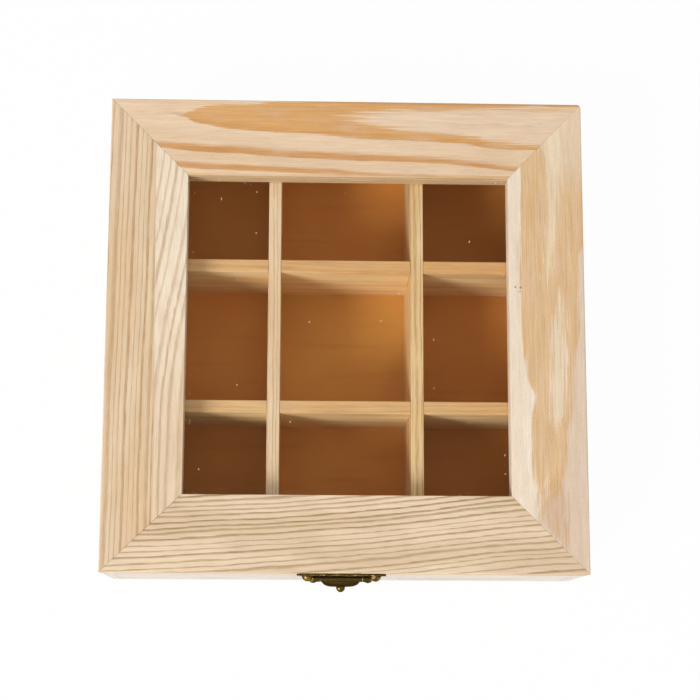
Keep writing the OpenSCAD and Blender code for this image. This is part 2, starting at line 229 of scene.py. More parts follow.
# Pine. Its rings are circles round the pith, whose place is (across the board, through it).
pine = {
    "turn": 0,                      # 90 for a board that runs front to back
    "seed": 0.0,
    "pith": (160.0, -40.0),
    "lean": (0.0, 0.0),             # how far the pith drifts for each mm along
    "ring": 2.7,
    "uneven": 0.9,                  # how much the width of the rings varies
    "wander": 5.0,                  # how far the rings wave, in mm
    "ripple": 1.8,                  # and how far their lines waver
    "contrast": 0.75,
    "faint": 0.5,                   # strength of the faintest year's line
    "broken": 0.4,                  # strength left where a line is worn away
    "pale": paint(237, 208, 170),
    "tan": paint(230, 195, 152),
    "late": paint(198, 152, 102),
    "blush": paint(226, 192, 164),
    "endGrain": paint(214, 186, 150),
    "paintedTopShade": (1.0, 1.0, 1.0, 1.0),    # what the top face is multiplied by, painted shade on the top
    "sheen": 0.0,                   # how white the planed face turns where it is seen edge-on
    "dip": 0.0,                     # how far the marks drift sideways for each mm down from the top
    "grit": 0.033,                  # how strongly fine pores mottle it
    "marks": [],
    "specks": [],                   # small dark faults: (along, across, size)
}
# For each noise: how often it changes in a mm along and across, its detail and its roughness.
grain = {
    "wave": (1 / 95, 1 / 26, 1.5, 0.5),     # the wander of the rings
    "ripple": (1 / 26, 1 / 7, 2, 0.5),      # the wavering of their lines
    "dash": (1 / 10, 1.3, 3, 0.6),          # wear along a line
    "fibre": (1 / 16, 1.9, 4, 0.62),
    "fine": (1 / 5, 6.5, 3, 0.6),
    "streak": (1 / 34, 1.0, 4, 0.62),
    "patch": (1 / 22, 1 / 5, 2, 0.5),
    "cloud": (1 / 70, 1 / 14, 2, 0.5),      # from pale to tan
    "blush": (1 / 18, 1 / 6, 3, 0.5),
    "pores": (0.5, 4.0, 2, 0.5),            # of the end grain
}
# How dark and how light a noise makes the wood.
shading = {"fibre": (0.92, 1.05), "fine": (0.94, 1.04), "patch": (0.97, 1.02)}
# A year's ring, in shares of its width.
year = {
    "drift": 0.37,                  # how quickly the width changes from year to year
    "frayed": 0.36,                 # how far the fibres pull a line out
    "late": 0.36,                   # where the late wood sets in at the earliest
    "later": 0.25,                  # and how much later at most
    "rise": 0.28,
    "fall": 0.88,
}


def grainNoise(tree, board, seed, kind):
    lengthwise, crosswise, detail, rough = grain[kind]
    shift = seed[1:] + seed[:1] if kind == "blush" else seed
    spot = stretch(tree, board, (lengthwise, crosswise, crosswise), shift)
    return noise(tree, spot, detail=detail, rough=rough)


# Distance from the pith of a board, or of a strip in it.
def fromPith(tree, place, bent, part):
    along, across, through = place
    pith, lean = part["pith"], part["lean"]
    sideways = calc(tree, "MULTIPLY_ADD", along, -lean[0], calc(tree, "SUBTRACT", across, pith[0]))
    if "path" in part:
        sideways = calc(tree, "SUBTRACT", sideways, readCurve(tree, along, part["path"]))
    upwards = calc(tree, "MULTIPLY_ADD", along, -lean[1], calc(tree, "SUBTRACT", through, pith[1]))
    flat = put(tree, "CombineXYZ", {0: calc(tree, "ADD", sideways, bent), 1: upwards}).outputs[0]
    return put(tree, "VectorMath", {0: flat}, operation="LENGTH").outputs["Value"]


# Strength of the late wood's dark lines, 0 to 1.
def lateWood(tree, look, radius, waves):
    step = calc(tree, "MULTIPLY", radius, 1 / look["ring"])
    drift = put(tree, "TexNoise", {"W": calc(tree, "MULTIPLY", step, year["drift"]), "Scale": 1.0,
                                   "Detail": 1.0}, noise_dimensions="1D").outputs[0]
    step = calc(tree, "MULTIPLY_ADD", drift, look["uneven"] * 2, step)
    step = calc(tree, "MULTIPLY_ADD", waves["fibre"], year["frayed"], step)
    part = calc(tree, "FRACT", step)
    draw = put(tree, "TexWhiteNoise", {"W": calc(tree, "FLOOR", step)}, noise_dimensions="1D")
    strength, begins = put(tree, "SeparateColor", {0: draw.outputs["Color"]}).outputs[:2]
    begins = calc(tree, "MULTIPLY_ADD", begins, year["later"], year["late"])
    late = ease(tree, part, begins, calc(tree, "ADD", begins, year["rise"]))
    late = calc(tree, "MULTIPLY", late, ease(tree, part, year["fall"], 1.0, 1.0, 0.0))
    strength = calc(tree, "MULTIPLY_ADD", strength, 1 - look["faint"], look["faint"])
    late = calc(tree, "MULTIPLY", late, strength)
    return calc(tree, "MULTIPLY", late, ease(tree, waves["dash"], 0.34, 0.6, look["broken"], 1.0))


# Heartwood or sapwood drawn between two edges along the board. Its edges fray by the feather, in mm.
def addMark(tree, colour, mark, along, across, streak):
    softLow, softHigh = mark["soft"]
    frayed = sway(tree, streak, 2 * mark["feather"])
    low = calc(tree, "SUBTRACT", across, readCurve(tree, along, mark["low"]))
    high = calc(tree, "SUBTRACT", readCurve(tree, along, mark["high"]), across)
    over = ease(tree, calc(tree, "ADD", low, frayed), -softLow, softLow)
    under = ease(tree, calc(tree, "ADD", high, frayed), -softHigh, softHigh)
    area = calc(tree, "MULTIPLY", over, under)
    if "fade" in mark:              # comes in along the board, in strokes
        strokes = calc(tree, "MULTIPLY_ADD", frayed, 8.0, along)
        area = calc(tree, "MULTIPLY", area, ease(tree, strokes, *mark["fade"]))
    amount = spread(tree, streak, mark["amount"] * (1 - mark["streaky"]), mark["amount"])
    return blend(tree, calc(tree, "MULTIPLY", area, amount), colour, mark["colour"])


def addSpeck(tree, colour, speck, along, across):
    x, y, size = speck
    far = put(tree, "CombineXYZ", {0: calc(tree, "SUBTRACT", along, x),
                                   1: calc(tree, "SUBTRACT", across, y)}).outputs[0]
    far = put(tree, "VectorMath", {0: far}, operation="LENGTH").outputs["Value"]
    return blend(tree, ease(tree, far, size, size * 0.35, 0.0, 0.85), colour, paint(104, 76, 54))


def makePine(name, **changes):
    look = {**pine, **changes}
    material, tree = newMaterial("pine " + name)
    straight = (0, 0, -radians(look["turn"]))
    board = put(tree, "Mapping", {"Vector": whereMm(tree), "Rotation": straight}).outputs[0]
    place = put(tree, "SeparateXYZ", {0: board}).outputs
    along, across, through = place
    seed = (look["seed"] * 13.7, look["seed"] * 7.3, look["seed"] * 3.1)
    waves = {kind: grainNoise(tree, board, seed, kind) for kind in grain}
    fibre = waves["fibre"]

    bent = sway(tree, waves["wave"], look["wander"])
    bent = sway(tree, waves["ripple"], look["ripple"], bent)
    radius = fromPith(tree, place, bent, look)
    strip = look.get("glued")       # a second strip, glued on along a seam
    if strip:
        beyond = calc(tree, "SUBTRACT", readCurve(tree, along, strip["seam"]), across)
        beyond = ease(tree, beyond, -0.12, 0.12)
        other = calc(tree, "MULTIPLY", fromPith(tree, place, bent, strip), look["ring"] / strip["ring"])
        radius = put(tree, "Mix", {0: beyond, 2: radius, 3: other}).outputs[0]
    late = lateWood(tree, look, radius, waves)
    if strip:
        late = calc(tree, "MULTIPLY", late, calc(tree, "MULTIPLY_ADD", beyond, strip["weaker"], 1.0))

    colour = blend(tree, ease(tree, waves["cloud"], 0.35, 0.65), look["pale"], look["tan"])
    if strip:
        paler = ease(tree, along, *strip["paler"], strip["amount"] * 0.3, strip["amount"])
        colour = blend(tree, calc(tree, "MULTIPLY", beyond, paler), colour, strip["colour"])
    sunk = calc(tree, "SUBTRACT", through, lid["top"])
    ragged = calc(tree, "MULTIPLY_ADD", sunk, look["dip"], across)
    ragged = sway(tree, fibre, 1.1, ragged)
    ragged = sway(tree, waves["ripple"], 1.6, ragged)
    for mark in look["marks"]:
        colour = addMark(tree, colour, mark, along, ragged, fibre if mark.get("short") else waves["streak"])
    for speck in look["specks"]:
        colour = addSpeck(tree, colour, speck, along, ragged)
    colour = blend(tree, ease(tree, waves["blush"], 0.5, 0.75, 0.0, 0.35), colour, look["blush"])
    colour = blend(tree, calc(tree, "MULTIPLY", late, look["contrast"]), colour, look["late"])
    grit = noise(tree, board, 1.3, detail=2, rough=0.7)
    shade = spread(tree, grit, 1 - look["grit"], 1 + look["grit"])
    for kind, (dark, pale) in shading.items():
        shade = calc(tree, "MULTIPLY", shade, spread(tree, waves[kind], dark, pale))
    colour = put(tree, "VectorMath", {0: colour, "Scale": shade}, operation="SCALE").outputs[0]
    colour = blend(tree, ease(tree, waves["fine"], 0.66, 0.74, 0.0, 0.35), colour, look["late"], "MULTIPLY")

    facing = put(tree, "Mapping", {"Vector": put(tree, "TexCoord").outputs["Normal"],
                                   "Rotation": straight}).outputs[0]
    facing = put(tree, "SeparateXYZ", {0: facing}).outputs
    colour = blend(tree, ease(tree, facing["Z"], 0.6, 0.9), colour, look["paintedTopShade"], "MULTIPLY")
    endGrain = ease(tree, calc(tree, "ABSOLUTE", facing["X"]), 0.75, 0.95)
    dark = calc(tree, "MULTIPLY", endGrain, ease(tree, waves["pores"], 0.35, 0.65, 0.35, 0.8))
    colour = blend(tree, dark, colour, look["endGrain"], "MULTIPLY")

    height = calc(tree, "MULTIPLY_ADD", late, 0.5, calc(tree, "MULTIPLY", fibre, 0.7))
    height = calc(tree, "MULTIPLY_ADD", waves["fine"], 0.35, height)
    height = calc(tree, "MULTIPLY_ADD", calc(tree, "MULTIPLY", endGrain, waves["pores"]), 0.8, height)
    rough = calc(tree, "MULTIPLY_ADD", fibre, 0.22, 0.44)
    coat(tree, colour, rough, bumps(tree, height, 0.35, 0.00025),
         {"Specular IOR Level": 0.25, "Sheen Weight": look["sheen"], "Sheen Roughness": 0.3})
    return material


hardboard = {
    "plain": (paint(227, 165, 85), paint(219, 155, 77)),
    "streak": paint(176, 118, 58),
    "crumb": (paint(152, 96, 48), paint(228, 170, 104)),
    "dimple": paint(120, 80, 46),
    "pitch": 1.8,                           # of the dimples that the press's screen left underneath
    "outer": (0.42, 0.45, 0.58, 1),         # what the edges and the underside are multiplied by
    "middle": (0.95, 0.98, 0.95, 1),        # and the middle compartment's floor, painted shade
    "paintedLightBackLeft": (1.17, 1.08, 1.02, 1),      # and the rest, from this corner, painted light
    "paintedShadeFrontRight": (0.86, 0.75, 0.66, 1),    # to this one, painted shade
}


def makeHardboard():
    material, tree = newMaterial("hardboard")
    spot = whereMm(tree)
    cloud = noise(tree, spot, 1 / 40, 3)
    streak = noise(tree, stretch(tree, spot, (1 / 60, 1 / 3.5, 1 / 4)), detail=3)
    crumb = noise(tree, spot, 1.7, 3, 0.65)
    colour = blend(tree, spread(tree, cloud), *hardboard["plain"])
    colour = blend(tree, ease(tree, streak, 0.54, 0.8, 0.0, 0.22), colour, hardboard["streak"])
    colour = blend(tree, ease(tree, crumb, 0.56, 0.72, 0.0, 0.3), colour, hardboard["crumb"][0])
    colour = blend(tree, ease(tree, crumb, 0.44, 0.30, 0.0, 0.25), colour, hardboard["crumb"][1])

    x, y, z = put(tree, "SeparateXYZ", {0: spot}).outputs
    fromMiddle = calc(tree, "MAXIMUM", calc(tree, "ABSOLUTE", x), calc(tree, "ABSOLUTE", y))
    # Painted light and shade: the floor is lighter towards the back left, darker towards the front right,
    # and a little darker in the middle compartment, for how the light falls in the compartments.
    drift = calc(tree, "MULTIPLY_ADD", x, 0.6, calc(tree, "MULTIPLY", y, -0.45))
    paintedLightAndShade = blend(tree, ease(tree, drift, -110, 110), hardboard["paintedLightBackLeft"], hardboard["paintedShadeFrontRight"])
    paintedLightAndShade = blend(tree, ease(tree, fromMiddle, 34, 39), hardboard["middle"], paintedLightAndShade)
    colour = blend(tree, 1.0, colour, paintedLightAndShade, "MULTIPLY")
    outer = calc(tree, "MAXIMUM", ease(tree, fromMiddle, 118.8, 119.4), ease(tree, z, 2.6, 0.4))
    colour = blend(tree, outer, colour, hardboard["outer"], "MULTIPLY")

    waves = [calc(tree, "SINE", calc(tree, "MULTIPLY", way, 2 * pi / hardboard["pitch"])) for way in (x, y)]
    screen = calc(tree, "MULTIPLY", *waves)
    under = ease(tree, z, 0.2, 0.05)
    dimple = calc(tree, "MULTIPLY", under, ease(tree, screen, -0.4, -0.9, 0.0, 0.35))
    colour = blend(tree, dimple, colour, hardboard["dimple"])
    height = calc(tree, "MULTIPLY", crumb, 0.3)
    height = calc(tree, "MULTIPLY_ADD", calc(tree, "MULTIPLY", screen, under), 0.8, height)
    rough = calc(tree, "MULTIPLY_ADD", crumb, 0.2, 0.45)
    coat(tree, colour, rough, bumps(tree, height, 0.5, 0.0002), {"Specular IOR Level": 0.2})
    return material


# Clear sheet with a few specks of sawdust on it, and more of them along the wood.
pane = {
    "clear": (0.975, 0.98, 0.975, 1),
    "ior": 1.14,
    "smear": (0.02, 0.09),              # roughness, where it is clean and where it is smeared
    "dust": paint(226, 194, 150),
    "scattered": (9.0, 0.2, 0.34),      # distance between specks, share that is there, largest radius
    "gathered": (3.2, 0.45, 0.36),
    "middle": (0.8, -0.9, 0),
    "byWood": (76, 80),                 # how far from the middle that starts and is full
}


def specks(tree, spot, pitch, share, largest):
    cells = put(tree, "TexVoronoi", {"Vector": spot, "Scale": 1 / pitch}, voronoi_dimensions="2D")
    size = put(tree, "SeparateColor", {0: cells.outputs["Color"]}).outputs[0]
    limit = ease(tree, size, 1 - share, 1.0, -0.1 / pitch, largest / pitch)
    return ease(tree, calc(tree, "SUBTRACT", limit, cells.outputs["Distance"]), 0.0, 0.1 / pitch)


def makePane():
    material, tree = newMaterial("clear pane")
    spot = whereMm(tree)
    clear = put(tree, "BsdfTransparent", {"Color": pane["clear"]})
    smear = ease(tree, noise(tree, spot, 1 / 18, 3), 0.35, 0.7, *pane["smear"])
    gloss = put(tree, "BsdfGlossy", {"Color": white, "Roughness": smear})
    skin = put(tree, "Fresnel", {"IOR": pane["ior"]}).outputs[0]
    outside = calc(tree, "SUBTRACT", 1.0, put(tree, "NewGeometry").outputs["Backfacing"])
    skin = calc(tree, "MULTIPLY", skin, outside)
    sheet = put(tree, "MixShader", {0: skin, 1: clear.outputs[0], 2: gloss.outputs[0]})

    shake = put(tree, "TexNoise", {"Vector": spot, "Scale": 0.9}).outputs["Color"]
    shaken = put(tree, "VectorMath", {0: shake, 1: (0.8, 0.8, 0.8), 2: spot},
                 operation="MULTIPLY_ADD").outputs[0]
    away = put(tree, "VectorMath", {0: spot, 1: pane["middle"]}, operation="SUBTRACT").outputs[0]
    away = put(tree, "VectorMath", {0: away}, operation="ABSOLUTE").outputs[0]
    away = put(tree, "SeparateXYZ", {0: away}).outputs
    byWood = ease(tree, calc(tree, "MAXIMUM", away["X"], away["Y"]), *pane["byWood"])
    gathered = calc(tree, "MULTIPLY", specks(tree, shaken, *pane["gathered"]), byWood)
    speck = calc(tree, "MAXIMUM", specks(tree, shaken, *pane["scattered"]), gathered)
    dust = put(tree, "BsdfDiffuse", {"Color": pane["dust"]})
    top = put(tree, "MixShader", {0: speck, 1: sheet.outputs[0], 2: dust.outputs[0]})
    put(tree, "OutputMaterial", {"Surface": top.outputs[0]})
    return material


# Blackened brass, rubbed bright where "wear" is set on the mesh and darker where it is below 0.
agedBronze = {
    "dark": (paint(58, 48, 26), paint(86, 71, 37)),
    "sunk": paint(36, 27, 17),
    "rubbed": paint(218, 178, 96),
    "edgeOn": (0.42, 0.33, 0.17, 1),    # colour of the reflection at a low angle
}


def makeBronze():
    material, tree = newMaterial("aged bronze")
    spot = whereMm(tree)
    wear = put(tree, "Attribute", attribute_name="wear").outputs["Fac"]
    sunk = calc(tree, "MAXIMUM", calc(tree, "MULTIPLY", wear, -1.0), 0.0)
    patch = noise(tree, spot, 0.55, 4, 0.6)
    grit = noise(tree, spot, 4.5, 3, 0.6)
    rubbed = ease(tree, patch, 0.42, 0.62, 0.06, 1.0)
    rubbed = calc(tree, "MULTIPLY", calc(tree, "MAXIMUM", wear, 0.0), rubbed)
    rubbed = calc(tree, "MAXIMUM", rubbed, ease(tree, patch, 0.60, 0.80, 0.0, 0.35))
    colour = blend(tree, ease(tree, grit, 0.35, 0.7), *agedBronze["dark"])
    colour = blend(tree, calc(tree, "MULTIPLY", sunk, 0.5), colour, agedBronze["sunk"])
    colour = blend(tree, rubbed, colour, agedBronze["rubbed"])
    rough = calc(tree, "MULTIPLY_ADD", rubbed, -0.16, calc(tree, "MULTIPLY_ADD", grit, 0.2, 0.32))
    coat(tree, colour, rough, bumps(tree, grit, 0.25, 0.00008),
         {"Metallic": 1.0, "Specular Tint": agedBronze["edgeOn"]})
    return material


steel = {"bright": paint(190, 190, 192), "dull": paint(128, 124, 120)}


def makeSteel():
    material, tree = newMaterial("bright steel")
    grit = noise(tree, whereMm(tree), 3.0, 4, 0.6)
    colour = blend(tree, ease(tree, grit, 0.4, 0.7), steel["bright"], steel["dull"])
    rough = calc(tree, "MULTIPLY_ADD", grit, 0.3, 0.2)
    coat(tree, colour, rough, bumps(tree, grit, 0.2, 0.00005), {"Metallic": 1.0})
    return material


# Helpers for the meshes, in millimetres. Vertices closer than "merge" are one, and edges that fold by
# more than "sharp" degrees stay sharp.
meshes = {"merge": 0.0005, "sharp": 40}


def onlyVerts(found):
    return [g for g in found["geom"] if isinstance(g, bmesh.types.BMVert)]


# A board from its outline, pushed out by the given step.
def pushedOut(corners, step):
    bm = bmesh.new()
    face = bm.faces.new([bm.verts.new(c) for c in corners])
    grown = bmesh.ops.extrude_face_region(bm, geom=[face])
    bmesh.ops.translate(bm, vec=step, verts=onlyVerts(grown))
    bmesh.ops.recalc_face_normals(bm, faces=bm.faces)
    return bm


# Rounds the edges that fold by more than the given angle and that pick accepts.
def roundEdges(bm, size, pick=None, steps=2, fold=30):
    edges = [e for e in bm.edges if len(e.link_faces) == 2 and e.calc_face_angle() > radians(fold)
             and (pick is None or pick(e))]
    return bmesh.ops.bevel(bm, geom=edges, offset=size, offset_type="OFFSET", segments=steps, profile=0.5,
                           affect="EDGES", material=-1, clamp_overlap=True)["faces"]


# Cuts off what lies beyond a plane and closes the cut.
def cutOff(bm, spot, away):
    bmesh.ops.bisect_plane(bm, geom=bm.verts[:] + bm.edges[:] + bm.faces[:], dist=0.0001,
                           plane_co=spot, plane_no=away, clear_outer=True)
    bmesh.ops.holes_fill(bm, edges=[e for e in bm.edges if e.is_boundary], sides=0)


# A round part turned from half its section (radius, height), along +Z.
def turned(section, steps):
    bm = bmesh.new()
    dots = [bm.verts.new((r, 0, h)) for r, h in section]
    line = [bm.edges.new(pair) for pair in zip(dots, dots[1:])]
    bmesh.ops.spin(bm, geom=dots + line, cent=(0, 0, 0), axis=(0, 0, 1), angle=2 * pi, steps=steps,
                   use_merge=True)
    bmesh.ops.remove_doubles(bm, verts=bm.verts, dist=meshes["merge"])
    bmesh.ops.recalc_face_normals(bm, faces=bm.faces)
    return bm


def repeated(bm, places):
    first = bm.verts[:] + bm.edges[:] + bm.faces[:]
    for place in places[1:]:
        bmesh.ops.transform(bm, matrix=place, verts=onlyVerts(bmesh.ops.duplicate(bm, geom=first)))
    bmesh.ops.transform(bm, matrix=places[0], verts=onlyVerts({"geom": first}))
    return bm


def turnRound(bm, degrees):
    bmesh.ops.rotate(bm, cent=(0, 0, 0), matrix=Matrix.Rotation(radians(degrees), 3, "Z"), verts=bm.verts)


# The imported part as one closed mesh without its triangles.
def copied(node):
    bm = bmesh.new()
    bm.from_mesh(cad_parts[node].data)
    bmesh.ops.scale(bm, vec=(1000, 1000, 1000), verts=bm.verts)
    bmesh.ops.remove_doubles(bm, verts=bm.verts, dist=0.002)
    bmesh.ops.dissolve_limit(bm, angle_limit=radians(1), verts=bm.verts, edges=bm.edges)
    return bm


def finish(name, bm, body, nodes, material):
    bmesh.ops.remove_doubles(bm, verts=bm.verts, dist=meshes["merge"])
    bmesh.ops.recalc_face_normals(bm, faces=bm.faces)
    bmesh.ops.scale(bm, vec=(0.001, 0.001, 0.001), verts=bm.verts)
    for face in bm.faces:
        face.smooth = True
    mesh = bpy.data.meshes.new(name)
    bm.to_mesh(mesh)
    bm.free()
    mesh.set_sharp_from_angle(angle=radians(meshes["sharp"]))
    mesh.materials.append(material)
    piece = bpy.data.objects.new(name, mesh)
    bpy.context.scene.collection.objects.link(piece)
    even = piece.modifiers.new("even shading", "WEIGHTED_NORMAL")
    even.keep_sharp = True
    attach(piece, body)
    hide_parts(*nodes)


# The box. Its walls lap each other at the corners, and the dividers stand in housings with a little play.
box = {
    "half": 120.0, "floor": 3.0,
    "wall": 12.0, "wallTop": 57.7, "lap": 6.0,
    "divider": 6.4, "dividerAt": 36.3, "dividerTop": 56.9, "housing": 3.0, "play": 0.1,
    "corner": 0.9, "wallEdge": 0.25,            # how far edges are rounded
    "dividerTopEdge": 0.35, "dividerEdge": 0.15, "boardEdge": 0.35,
}
walls = {
    # The front wall's pale, tan and late colours are lighter than the other walls': painted light for its
    # brightly lit front face.
    "front": {"turn": 0, "wood": dict(
        seed=3.1, pith=(-60, 20), lean=(0.05, 0.02), ring=3.4, wander=9, contrast=0.7, sheen=1.0,
        pale=paint(242, 226, 202), tan=paint(236, 213, 183), late=paint(208, 171, 129))},
    "right": {"turn": 90, "wood": dict(
        turn=90, seed=5.7, pith=(-70, -18), lean=(0.02, 0.09), ring=3.8, wander=10, contrast=0.6)},
    "back": {"turn": 180, "wood": dict(
        seed=9.2, pith=(30, 96), lean=(0.01, 0.07), ring=3.6, wander=12, contrast=0.6)},
    "left": {"turn": 270, "wood": dict(
        turn=90, seed=2.4, pith=(150, 60), lean=(0.02, -0.05), ring=3.1, wander=8, contrast=0.6)},
}
dividers = {
    "left": {"towards": (-1, 0), "wood": dict(
        turn=90, seed=4.4, pith=(-90, 70), lean=(0.01, 0.02), ring=2.3, wander=4, contrast=0.95,
        pale=paint(247, 219, 182), tan=paint(241, 206, 165), late=paint(204, 150, 100))},
    "right": {"towards": (1, 0), "wood": dict(
        turn=90, seed=6.6, pith=(80, 64), lean=(0.012, 0.01), ring=2.2, wander=3, contrast=0.95,
        pale=paint(244, 212, 160), tan=paint(237, 196, 138), late=paint(200, 146, 88))},
    # The front and back dividers' wood is brighter and yellower, painted light for their lit faces, and
    # their tops are multiplied darker again, painted shade.
    "front": {"towards": (0, -1), "wood": dict(
        seed=7.9, pith=(-120, 66), lean=(0.014, 0.03), ring=2.6, wander=4, contrast=0.42,
        pale=paint(252, 220, 164), tan=paint(245, 206, 146), late=paint(208, 152, 92),
        paintedTopShade=(0.86, 0.74, 0.66, 1))},
    "back": {"towards": (0, 1), "wood": dict(
        seed=8.8, pith=(140, 60), lean=(-0.02, 0.02), ring=2.5, wander=4, contrast=0.45,
        pale=paint(253, 221, 166), tan=paint(245, 206, 146), late=paint(208, 152, 92),
        paintedTopShade=(0.86, 0.70, 0.60, 1))},
}


# Places where a divider of the given slack crosses, from one side to the other.
def crossings(slack):
    half = box["divider"] / 2 + slack
    return [(at - half, at + half) for at in (-box["dividerAt"], box["dividerAt"])]


def makeWalls():
    out, inner = -box["half"], -box["half"] + box["wall"]
    lapped, deep = out + box["lap"], inner - box["housing"]
    near, far = crossings(box["play"])
    notches = [(far[1], inner), (far[1], deep), (far[0], deep), (far[0], inner),
               (near[1], inner), (near[1], deep), (near[0], deep), (near[0], inner)]
    longPlan = [(out, out), (-out, out), (-out, lapped), (-inner, lapped), (-inner, inner)] + notches \
        + [(inner, inner), (inner, lapped), (out, lapped)]
    sidePlan = [(lapped, out), (-lapped, out), (-lapped, inner)] + notches + [(lapped, inner)]

    def atCorner(edge):
        return all(min(abs(v.co.x), abs(v.co.y)) > box["half"] - 0.01 for v in edge.verts)

    for side, wall in walls.items():
        plan = sidePlan if side in ("left", "right") else longPlan
        bm = pushedOut([(x, y, box["floor"]) for x, y in plan], (0, 0, box["wallTop"] - box["floor"]))
        roundEdges(bm, box["corner"], atCorner, 3)
        roundEdges(bm, box["wallEdge"])
        turnRound(bm, wall["turn"])
        name = side + "_wall"
        finish(name + ".wood", bm, "box", [name], makePine(side + " wall", **wall["wood"]))


# The dividers are half-lapped: those that run front to back are notched from below, the others from above.
def makeDividers():
    end = box["half"] - box["wall"] + box["housing"] - box["play"]
    low, top, half = box["floor"], box["dividerTop"], box["divider"] / 2
    middle = (low + top) / 2
    under, over = middle + box["play"], middle - box["play"]
    (a, b), (c, d) = crossings(box["play"])
    frontToBack = [(-end, low), (a, low), (a, under), (b, under), (b, low), (c, low), (c, under), (d, under),
                   (d, low), (end, low), (end, top), (-end, top)]
    sideToSide = [(-end, low), (end, low), (end, top), (d, top), (d, over), (c, over), (c, top), (b, top),
                  (b, over), (a, over), (a, top), (-end, top)]

    def alongTop(edge):
        first, second = edge.verts
        return min(first.co.z, second.co.z) > top - 0.01 and abs(first.co.y - second.co.y) < 0.01

    for side, divider in dividers.items():
        outline = frontToBack if side in ("left", "right") else sideToSide
        bm = pushedOut([(x, -half, z) for x, z in outline], (0, 2 * half, 0))
        roundEdges(bm, box["dividerTopEdge"], alongTop, 3)
        roundEdges(bm, box["dividerEdge"])
        turnRound(bm, divider["wood"].get("turn", 0))
        shift = [box["dividerAt"] * way for way in divider["towards"]]
        bmesh.ops.translate(bm, vec=(*shift, 0), verts=bm.verts)
        name = "divider_" + side
        finish(name + ".wood", bm, "box", [name], makePine(side + " divider", **divider["wood"]))


def makeBase():
    bm = copied("base_panel")
    reach = box["half"] - 1
    roundEdges(bm, box["boardEdge"], lambda e: all(max(abs(v.co.x), abs(v.co.y)) > reach for v in e.verts))
    finish("base_panel.board", bm, "box", ["base_panel"], makeHardboard())


# The lid's frame.
lid = {
    "under": 58.0, "top": 70.0, "windowX": (-80.4, 82.0), "windowY": (-81.85, 80.05),
    "groove": (63.3, 65.5), "grooveDeep": 6.0,
    "topEdge": 0.6, "innerEdge": 0.3, "underEdge": 0.4, "grooveEdge": 0.15, "mitreEdge": 0.08,
    # at each corner, the radius and half the width of the joint line
    "corner": {"front right": (0.5, 0.02), "back right": (2.4, 0.01), "back left": (0.5, 0.045),
               "front left": (0.5, 0.035)},
    "pane": (173.4, 172.9, 2.0), "paneZ": 64.4, "paneEdge": 0.15,
}
heart = paint(220, 163, 95)
heartDeep = paint(208, 147, 84)
tongueEdge = [(-120, 118), (-85, 111.3), (-77.7, 108.1), (-60.2, 104.4), (-47.1, 103.5), (-22.4, 102.5),
              (-2, 101.5), (28.7, 99.8), (50.6, 98.8), (62.3, 98), (72.6, 96.2), (82.8, 95), (97.5, 94.9),
              (120, 95)]

# Marks follow the photo's grain. Their edges are points (along, across) on the closed lid, in mm.
backMarks = [
    {"low": tongueEdge,                                 # the orange tongue
     "high": [(-120, 104), (-85, 111.6), (-79.3, 114.4), (-70.6, 116.4), (-59, 117.6), (-47.3, 118.2),
              (-29.8, 119), (0, 121), (120, 122)],
     "soft": (0.5, 0.5), "feather": 2.6, "colour": heart, "amount": 1.0, "streaky": 0.25},
    {"low": tongueEdge,                                 # its darker lower edge
     "high": [(-120, 112), (-85, 112.6), (-77.7, 110.4), (-60.2, 107.2), (-47.1, 105.6), (-22.4, 104.6),
              (-2, 103.6), (28.7, 101.6), (50.6, 100.4), (62.3, 99.5), (72.6, 97.9), (82.8, 96.6),
              (97.5, 96.3), (120, 96)],
     "soft": (0.4, 1.3), "feather": 1.6, "colour": paint(205, 147, 88), "amount": 0.6, "streaky": 0.4},
    {"low": [(-120, 124), (-75, 121.5), (-30, 119.6), (0, 118.7), (80, 118.9), (120, 118.6)],
     "high": [(-120, 124), (120, 124)],                 # along the outer edge
     "soft": (0.3, 0.3), "feather": 0.5, "colour": paint(206, 150, 96), "amount": 0.9, "streaky": 0.3},
    {"low": [(-120, 113), (-10, 112), (0, 110.8), (6.8, 109.3), (21.4, 106), (43.3, 104), (63.8, 102.5),
             (69.7, 101.3), (84.3, 98.9), (101.9, 97.6), (120, 97)],
     "high": [(-120, 110), (-10, 111.5), (0, 112.6), (6.8, 113.6), (15.6, 114.9), (28.7, 116),
              (50.7, 116.6), (80, 117.2), (120, 117.8)],     # pale wood inside the tongue
     "soft": (1.3, 1.3), "feather": 5.5, "colour": paint(240, 218, 193), "amount": 0.9, "streaky": 0.3,
     "fade": (-18, 16)},
    {"low": [(-120, 96.5), (-91.9, 93.7), (-80.3, 92.5), (-65.8, 91.8), (-51.3, 91.3), (-36.8, 90.3),
             (-22.2, 89.9), (-1.9, 88.9), (31.6, 88.3), (50.5, 87.2), (65.1, 85.7), (84.8, 83.8), (120, 81)],
     "high": [(-120, 98.6), (-92, 97), (-80.4, 96.4), (-65.9, 95.4), (-51.3, 95), (-36.8, 94.3),
              (-22.3, 93.6), (-1.9, 92.5), (15.6, 92.1), (31.6, 91.2), (50.6, 89.9), (65.2, 88.4),
              (79.8, 86.5), (120, 83)],                 # the upper band
     "soft": (0.3, 1.7), "feather": 1.0, "colour": heartDeep, "amount": 1.0, "streaky": 0.25},
    {"low": [(-120, 86.5), (-81.6, 83.9), (-65.7, 83.3), (-51.2, 82.7), (-33.8, 82), (-13.5, 81.4),
             (6.8, 80.9), (120, 80)],
     "high": [(-120, 89.4), (-86, 87.2), (-72.9, 86.4), (-58.5, 86), (-44, 85.3), (-25.1, 84.5),
              (-4.8, 83.6), (20, 82), (60, 80.8), (120, 80)],     # the lower band
     "soft": (0.3, 1.2), "feather": 1.0, "colour": heartDeep, "amount": 0.95, "streaky": 0.25},
    {"low": [(-120, 60), (120, 60)],                    # along the inner edge and down its face
     "high": [(-120, 80.7), (-60, 80.9), (0, 81.2), (60, 81), (120, 80.7)],
     "soft": (0.3, 0.5), "feather": 0.8, "colour": paint(216, 176, 118), "amount": 0.7, "streaky": 0.6},
]
